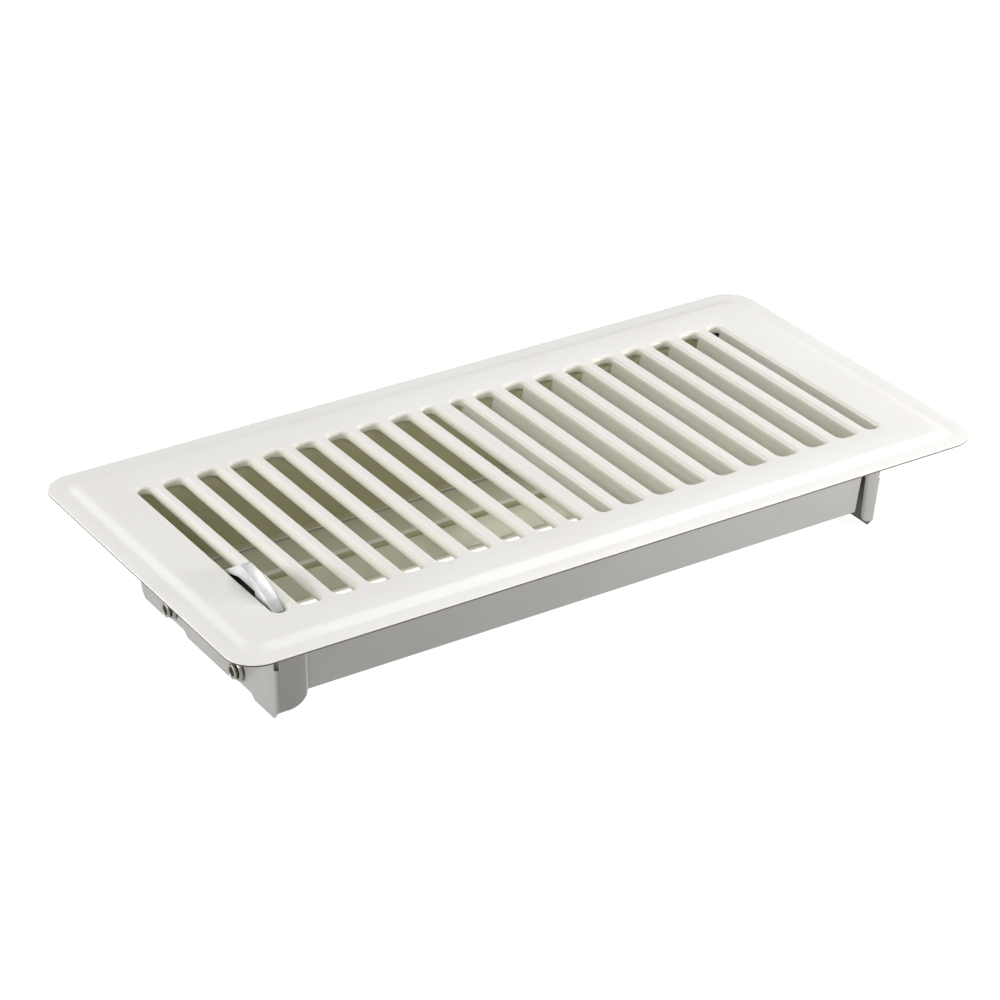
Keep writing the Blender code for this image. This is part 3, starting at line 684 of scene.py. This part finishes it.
def build_end_plate(name, node, side, tab_x, tab_round):
    """End wall with a tab folded round each corner, notches under the pins and a fold slot."""
    inner_bend = END_BEND - BOX_SHEET
    cx = END_OUTER_X - END_BEND
    cy = TAB_OUTER_Y - END_BEND
    edge_x, edge_y = tab_x + TAB_EDGE[0], TAB_OUTER_Y - TAB_EDGE[1]
    plan = [(tab_x, -edge_y), (edge_x, -TAB_OUTER_Y)] + arc((cx, -cy), END_BEND, 270, 360, 8)
    plan += arc((cx, cy), END_BEND, 0, 90, 8) + [(edge_x, TAB_OUTER_Y), (tab_x, edge_y)]
    plan += [(tab_x, TAB_OUTER_Y - BOX_SHEET)]
    plan += arc((cx, cy), inner_bend, 90, 0, 6) + arc((cx, -cy), inner_bend, 0, -90, 6)
    plan += [(tab_x, -TAB_OUTER_Y + BOX_SHEET)]
    top = RIM_Z + FIELD_RISE - GAP
    bm = bmesh.new()
    add_prism(bm, [(side * x, y) for x, y in plan], "Z", 0.0, top)
    piece = raw_object(name, bm)

    bm = bmesh.new()
    tab_z = RIM_Z - TAB_DEPTH
    below = [(END_OUTER_X - 0.0016, -0.001), (END_OUTER_X - 0.0016, tab_z)]
    below += arc((tab_x + tab_round, tab_z + tab_round), tab_round, 270, 180, 20)
    below += [(tab_x - 0.001, tab_z + tab_round), (tab_x - 0.001, -0.001)]
    for y0, y1 in ((-0.052, -0.0470), (0.0470, 0.052)):
        add_prism(bm, [(side * x, z) for x, z in below], "Y", y0, y1)
    combine(piece, bm, "DIFFERENCE")

    bm = bmesh.new()
    for y in (-PIVOT_Y, PIVOT_Y):
        notch = [(y - NOTCH_HALF - 0.0010, -0.001), (y + NOTCH_HALF + 0.0010, -0.001)]
        notch += [(y + NOTCH_HALF + 0.0006, 0.0002), (y + NOTCH_HALF + 0.0001, 0.0008)]
        notch += [(y + NOTCH_HALF - 0.0006, 0.0014), (y + NOTCH_HALF - 0.0014, NOTCH_RISE)]
        notch += [(y - NOTCH_HALF + 0.0014, NOTCH_RISE), (y - NOTCH_HALF + 0.0006, 0.0014)]
        notch += [(y - NOTCH_HALF - 0.0001, 0.0008), (y - NOTCH_HALF - 0.0006, 0.0002)]
        add_prism(bm, notch, "X", side * (END_INNER_X - 0.002), side * (END_OUTER_X + 0.002))
    for end in (-1.0, 1.0):
        edge = TAB_OUTER_Y + 0.0002
        relief = [(end * (edge + 0.001), -0.001), (end * (edge + 0.001), CORNER_CUT + 0.0002)]
        relief += [(end * edge, CORNER_CUT), (end * (edge - 0.0012), CORNER_CUT - 0.0010)]
        relief += [(end * (edge - 0.0028), -0.0001), (end * (edge - 0.0028), -0.001)]
        add_prism(bm, relief, "X", side * (END_INNER_X - 0.003), side * (END_OUTER_X + 0.002))
    combine(piece, bm, "DIFFERENCE")

    # A slot down the front fold parts the upper half of the tab from the plate.
    bm = bmesh.new()
    centre = (side * (END_OUTER_X - 0.0006), 0.0006 - TAB_OUTER_Y)
    fold_slot = arc(centre, FOLD_SLOT_RADIUS, 0, 360, 20)[:-1]
    add_prism(bm, fold_slot, "Z", RIM_Z - FOLD_SLOT_DEPTH, RIM_Z + 0.003)
    combine(piece, bm, "DIFFERENCE")
    lean_end_plate(piece, side)

    bm = bmesh.new()
    for y in (-PIVOT_Y, PIVOT_Y):
        bore = PIN_RADIUS + GAP
        profile = [(side * 0.112, 0), (side * 0.112, bore), (side * 0.119, bore), (side * 0.119, 0)]
        add_turned(bm, profile, along_x(y, PIVOT_Z))
    combine(piece, bm, "DIFFERENCE")
    finish_piece(piece, "frame", BOX_GREY, [node], bevel=0.00012)
    # Painted shade: the left plate's front tab face takes a darker grey.
    if side < 0:
        paint_faces(piece, SHADED_TAB_GREY, lambda centre, normal: normal.y < -0.9 and centre.y < -0.0400)
    # Painted shade: the right plate's inner faces are near-black; the left's take the olive inside colour.
    inside = BOX_INSIDE if side < 0 else SHADE
    paint_faces(piece, inside, lambda centre, normal: normal.x * side < -0.6 and abs(centre.x) > 0.112)


def build_pivot(name, node, side_x, side_y, body):
    """Tubular pin, riveted over with a small flare; the end is hollow."""
    inner_x = min(abs(corner.x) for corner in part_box(node))
    tip = PIN_TIP_X
    profile = [
        (inner_x, 0.0), (inner_x, JOURNAL_RADIUS), (PIN_STEP_X, JOURNAL_RADIUS), (PIN_STEP_X, PIN_RADIUS),
        (tip - 0.0014, PIN_RADIUS), (tip - 0.0007, HEAD_RADIUS), (tip - 0.0001, HEAD_RADIUS - 0.0001),
        (tip, HEAD_RADIUS - 0.0006), (tip - 0.0002, PIN_BORE), (tip - 0.0035, PIN_BORE - 0.0001),
        (tip - 0.0035, 0.0),
    ]
    bm = bmesh.new()
    profile = soften(profile, 0.0004)
    add_turned(bm, [(side_x * x, r) for x, r in profile], along_x(side_y * PIVOT_Y, PIVOT_Z))
    finish_piece(raw_object(name, bm), body, ZINC, [node], sharp=60.0)


def build_collar(name, node, side_x, side_y):
    """Pressed ring round the pivot hole, dished towards the pin."""
    x0 = COLLAR_X
    inner = PIN_RADIUS + GAP
    section = [
        (x0, inner), (x0, COLLAR_RADIUS), (x0 + 0.0004, COLLAR_RADIUS), (x0 + 0.0008, COLLAR_RADIUS - 0.0002),
        (x0 + 0.0010, COLLAR_RADIUS - 0.0006), (x0 + 0.0011, inner + 0.0006), (x0 + 0.0009, inner + 0.0002),
        (x0 + 0.0005, inner),
    ]
    rings = []
    bm = bmesh.new()
    place = along_x(side_y * PIVOT_Y, PIVOT_Z)
    for k in range(ROUND_STEPS):
        angle = 2.0 * math.pi * k / ROUND_STEPS
        rings.append([
            bm.verts.new(place(side_x * x, r * math.cos(angle), r * math.sin(angle))) for x, r in section
        ])
    for k in range(ROUND_STEPS):
        here, there = rings[k], rings[(k + 1) % ROUND_STEPS]
        for i in range(len(section)):
            j = (i + 1) % len(section)
            bm.faces.new((here[i], here[j], there[j], there[i]))
    finish_piece(raw_object(name, bm), "frame", ZINC, [node], bevel=0.00008, sharp=50.0)


# ---------------------------------------------------------------- damper

def build_blade(name, node, side, outer, inner, body):
    """Leaf of sheet rolled over the pins, inner edge turned down, crank ear at the right end."""
    half = BOX_SHEET / 2
    bead = BEAD_RADIUS
    upper = [(-outer, half * 0.4), (-outer + 0.0002, half)] + arc((0.0, half), bead, 180, 0, 20)
    upper += [(inner - 0.0007, half), (inner - 0.0003, half - 0.0001), (inner - 0.0001, half - 0.0003)]
    upper += [(inner, half - 0.0007), (inner, -0.0012), (inner - 0.0002, -0.0014)]
    lower = [(inner - BOX_SHEET + 0.0002, -0.0014), (inner - BOX_SHEET, -0.0012), (inner - BOX_SHEET, -half)]
    lower += [(bead - half, -half)] + arc((0.0, 0.0), bead - half, 0, 180, 14)
    lower += [(-bead + half, -half), (-outer + 0.0002, -half), (-outer, -half * 0.4)]
    pivot = side * PIVOT_Y
    section = [(pivot - side * y, PIVOT_Z + z) for y, z in upper + lower]
    bm = bmesh.new()
    add_prism(bm, section, "X", BLADE_LOW.x, BLADE_HIGH.x)
    piece = raw_object(name, bm)

    bm = bmesh.new()
    ear = [(pivot - EAR_FOOT, PIVOT_Z - 0.00025), (pivot + EAR_FOOT, PIVOT_Z - 0.00025)]
    ear += arc((pivot, PIVOT_Z + EAR_HEIGHT), EAR_ROUND, 0, 180, 16)
    add_prism(bm, ear, "X", EAR_X - LINK_HALF_SHEET, EAR_X + 0.0003)
    combine(piece, bm, "UNION")
    bm = bmesh.new()
    ends = (EAR_X - 0.003, EAR_X + 0.003)
    for z, radius in ((PIVOT_Z, JOURNAL_RADIUS + GAP), (PIVOT_Z + EAR_HEIGHT, LINK_PIN_RADIUS + GAP)):
        profile = [(ends[0], 0), (ends[0], radius), (ends[1], radius), (ends[1], 0)]
        add_turned(bm, profile, along_x(pivot, z))
    combine(piece, bm, "DIFFERENCE")
    if side < 0:
        bm = bmesh.new()
        for offset in LEVER_RIVETS:
            hole = RIVET_RADIUS + GAP
            profile = [(-0.002, 0), (-0.002, hole), (0.002, hole), (0.002, 0)]
            add_turned(bm, profile, along_z(RIVET_X, pivot + offset, PIVOT_Z))
        combine(piece, bm, "DIFFERENCE")
    finish_piece(piece, body, DAMPER, [node], bevel=0.00008)
    bead_foot = PIVOT_Z + half * 1.2
    # Painted highlight: the bead's upward faces take the pale finish.
    paint_faces(piece, PALE_HIGHLIGHT, lambda centre, normal: (
        centre.z > bead_foot and normal.z > 0.8 and abs(centre.y - pivot) < bead))
    # Painted shade: the bead's upright sides take the darker olive inside colour.
    paint_faces(piece, BOX_INSIDE, lambda centre, normal: (
        centre.z > bead_foot and abs(normal.y) > 0.6 and abs(centre.y - pivot) < bead * 1.1))
    # Painted shade: the blade's outer edge faces are near-black.
    paint_faces(piece, SHADE, lambda centre, normal: (
        abs(normal.y) > 0.6 and abs(centre.y - pivot) > outer - 0.0005))


def lever_outline(inset):
    """Side outline (y, z) of the hump; inset gives the hollow inside the sheet."""
    top = 90 - LEVER_TOP_DEG
    front = 90 - LEVER_FRONT_DEG
    turn = math.degrees(inset / LEVER_RADIUS)
    points = arc((0.0, 0.0), LEVER_RADIUS - inset, front - turn, top, 24)
    knee = Vector(points[-1])
    back = Vector((LEVER_BACK[0] - 1.6 * inset, LEVER_BACK[1] - 0.4 * inset))
    points[-1] = tuple(knee + (Vector(points[-2]) - knee) * 0.3)
    points += [tuple(knee.lerp(back, 0.04)), tuple(knee.lerp(back, 0.12)), tuple(back)]
    depth = LEVER_INNER - (0.002 if inset else 0.0)
    points += arc((0.0, 0.0), depth, 74 + turn, front - turn, 16)
    return [(y - PIVOT_Y, z + PIVOT_Z) for y, z in points]


def build_lever():
    """Pressed hump standing in the end slot, with a neck and a riveted foot below."""
    x0, x1 = LEVER_LOW.x, LEVER_HIGH.x
    sheet = LEVER_SHEET
    y = -PIVOT_Y + LEVER_RADIUS * math.sin(math.radians(LEVER_FRONT_DEG))
    z = PIVOT_Z + LEVER_RADIUS * math.cos(math.radians(LEVER_FRONT_DEG))
    bm = bmesh.new()
    add_prism(bm, lever_outline(0.0), "X", x0, x1)
    piece = raw_object("lever_cap", bm)
    bm = bmesh.new()
    add_prism(bm, lever_outline(sheet), "X", x0 + sheet, x1 - sheet)
    combine(piece, bm, "DIFFERENCE")
    bm = bmesh.new()
    low_side = [(y, min(z, LEVER_SIDE_Z)) for y, z in lever_outline(sheet) if y > LEVER_OPEN_Y]
    add_prism(bm, low_side, "X", x0 - 0.001, x0 + 1.5 * sheet)
    combine(piece, bm, "DIFFERENCE")

    low = PIVOT_Z + BOX_SHEET / 2 + GAP
    bm = bmesh.new()
    path = [
        (y + 0.0010, z - 0.0012), (LEVER_HEEL_Y + 0.0004, low + sheet / 2), (LEVER_TOE_Y, low + sheet / 2),
    ]
    add_prism(bm, strip(path, [0.0012], sheet), "X", x0 + 0.0002, x1)
    combine(piece, bm, "UNION")
    bm = bmesh.new()
    for offset in LEVER_RIVETS:
        hole = RIVET_RADIUS + GAP
        profile = [(0.0002, 0), (0.0002, hole), (0.0030, hole), (0.0030, 0)]
        add_turned(bm, profile, along_z(RIVET_X, -PIVOT_Y + offset, PIVOT_Z))
    combine(piece, bm, "DIFFERENCE")
    finish_piece(piece, "front_damper", BRIGHT, ["damper_lever"], bevel=0.00028, segments=3)
    # Painted shade: the faces inside the hump's hollow are near-black.
    paint_faces(piece, SHADE, lambda centre, normal: (
        x0 + 0.0005 < centre.x < x1 - 0.0005 and centre.z > PIVOT_Z + LEVER_INNER * 0.7
        and math.hypot(centre.y + PIVOT_Y, centre.z - PIVOT_Z) < LEVER_RADIUS - 0.7 * sheet))


def build_lever_rivet(name, node, offset):
    """Round-headed rivet through the lever's foot and the blade."""
    under = -BOX_SHEET / 2 - GAP
    over = BOX_SHEET / 2 + 2 * GAP + LEVER_SHEET
    profile = [
        (under - 0.0006, 0.0), (under - 0.0006, 0.0011), (under - 0.0003, 0.0019), (under, 0.0020),
        (under, RIVET_RADIUS), (over, RIVET_RADIUS), (over, 0.0020), (over + 0.0003, 0.0019),
        (over + 0.0008, 0.0010), (over + 0.0008, 0.0),
    ]
    bm = bmesh.new()
    add_turned(bm, soften(profile, 0.0003), along_z(RIVET_X, -PIVOT_Y + offset, PIVOT_Z))
    finish_piece(raw_object(name, bm), "front_damper", ZINC, [node], sharp=50.0)


def build_link():
    """Flat bar that ties the two crank ears together."""
    z = PIVOT_Z + EAR_HEIGHT
    outline = arc((PIVOT_Y, z), LINK_ROUND, -90, 90, 16) + arc((-PIVOT_Y, z), LINK_ROUND, 90, 270, 16)
    bm = bmesh.new()
    add_prism(bm, outline, "X", LINK_X - LINK_HALF_SHEET, LINK_X + LINK_HALF_SHEET)
    piece = raw_object("link_strip", bm)
    bm = bmesh.new()
    for y in (-PIVOT_Y, PIVOT_Y):
        hole = LINK_PIN_RADIUS + GAP
        profile = [(0.106, 0), (0.106, hole), (0.111, hole), (0.111, 0)]
        add_turned(bm, profile, along_x(y, z))
    combine(piece, bm, "DIFFERENCE")
    finish_piece(piece, "link", DAMPER, ["link_bar"], bevel=0.0001)


def build_link_pin(name, node, side):
    """Pin with a head at each end, through a crank ear and the link."""
    left = EAR_X - LINK_HALF_SHEET - GAP
    right = LINK_X + LINK_HALF_SHEET + GAP
    profile = [
        (left - 0.0006, 0), (left - 0.0006, 0.0013), (left - 0.0003, 0.0019), (left, 0.0020),
        (left, LINK_PIN_RADIUS), (right, LINK_PIN_RADIUS), (right, 0.0020), (right + 0.0003, 0.0019),
        (right + 0.0006, 0.0013), (right + 0.0006, 0),
    ]
    bm = bmesh.new()
    add_turned(bm, soften(profile, 0.0003), along_x(side * PIVOT_Y, PIVOT_Z + EAR_HEIGHT))
    finish_piece(raw_object(name, bm), "link", ZINC, [node], sharp=50.0)


build_faceplate()
build_side_wall("box_wall_front", "front_side_wall", -1.0)
build_side_wall("box_wall_back", "back_side_wall", 1.0)
build_end_plate("box_end_left", "left_end_plate", -1.0, LEFT_TAB_X, LEFT_TAB_ROUND)
build_end_plate("box_end_right", "right_end_plate", 1.0, RIGHT_TAB_X, RIGHT_TAB_ROUND)
build_blade("damper_front", "front_damper_blade", -1.0, FRONT_BLADE_OUTER, FRONT_BLADE_INNER,
            "front_damper")
build_blade("damper_back", "back_damper_blade", 1.0, BACK_BLADE_OUTER, BACK_BLADE_INNER,
            "back_damper")
for row, side_y in (("front", -1.0), ("back", 1.0)):
    for end, side_x in (("left", -1.0), ("right", 1.0)):
        place_name = row + "_" + end
        build_pivot("pin_" + place_name, place_name + "_pivot", side_x, side_y, row + "_damper")
        build_collar("ring_" + place_name, place_name + "_collar", side_x, side_y)
build_lever()
build_lever_rivet("rivet_front", "front_lever_rivet", LEVER_RIVETS[0])
build_lever_rivet("rivet_back", "back_lever_rivet", LEVER_RIVETS[1])
build_link()
build_link_pin("link_pin_a", "front_link_pin", -1.0)
build_link_pin("link_pin_b", "back_link_pin", 1.0)


# ---------------------------------------------------------------- studio

def build_camera():
    data = bpy.data.cameras.new("camera")
    camera = bpy.data.objects.new("camera", data)
    bpy.context.scene.collection.objects.link(camera)
    camera.location = CAMERA_PLACE
    camera.rotation_euler = Euler(CAMERA_TURN)
    data.lens = CAMERA_LENS
    bpy.context.scene.camera = camera


def add_area(name, place, target, size, power):
    data = bpy.data.lights.new(name, "AREA")
    data.shape = "RECTANGLE"
    data.size, data.size_y = size
    data.energy = power
    light = bpy.data.objects.new(name, data)
    bpy.context.scene.collection.objects.link(light)
    light.location = place
    light.rotation_euler = (Vector(target) - Vector(place)).to_track_quat("-Z", "Y").to_euler()


def build_floor():
    bm = bmesh.new()
    bmesh.ops.create_grid(bm, x_segments=8, y_segments=8, size=4.0)
    mesh = bpy.data.meshes.new("floor")
    bm.to_mesh(mesh)
    bm.free()
    floor = bpy.data.objects.new("floor", mesh)
    bpy.context.scene.collection.objects.link(floor)
    floor.location.z = FLOOR_Z
    paint = bpy.data.materials.new("pale_floor")
    paint.use_nodes = True
    shader = paint.node_tree.nodes["Principled BSDF"]
    shader.inputs["Base Color"].default_value = (0.22, 0.22, 0.22, 1.0)
    shader.inputs["Roughness"].default_value = 0.9
    shader.inputs["Specular IOR Level"].default_value = 0.0
    shader.inputs["Emission Color"].default_value = (1.0, 1.0, 1.0, 1.0)
    shader.inputs["Emission Strength"].default_value = FLOOR_GLOW
    floor.data.materials.append(paint)


def build_world():
    """Soft grey dome, a little brighter overhead."""
    world = bpy.data.worlds.new("studio")
    world.use_nodes = True
    tree = world.node_tree
    place = tree.nodes.new("ShaderNodeTexCoord").outputs["Generated"]
    split = tree.nodes.new("ShaderNodeSeparateXYZ")
    tree.links.new(place, split.inputs["Vector"])
    background = tree.nodes["Background"]
    sky = scaled(tree, split.outputs["Z"], SKY_LEVEL_LOW, SKY_LEVEL_HIGH, 0.0, 0.75)
    tree.links.new(sky, background.inputs["Color"])
    background.inputs["Strength"].default_value = 1.0
    bpy.context.scene.world = world


build_camera()
build_floor()
build_world()
add_area("front_top", (-0.80, -0.30, 0.78), (0.0, 0.0, 0.03), (0.6, 0.6), 2.9)
add_area("side_left", (-0.85, 0.30, 0.16), (-0.12, 0.0, 0.02), (0.4, 0.3), 5.0)
add_area("side_right", (0.50, -0.40, 0.12), (0.11, -0.04, 0.02), (0.25, 0.2), 3.9)
add_area("back_right", (0.55, 0.40, 0.85), (0.10, 0.0, 0.03), (0.5, 0.5), 4.1)
bpy.context.scene.view_settings.view_transform = "Standard"
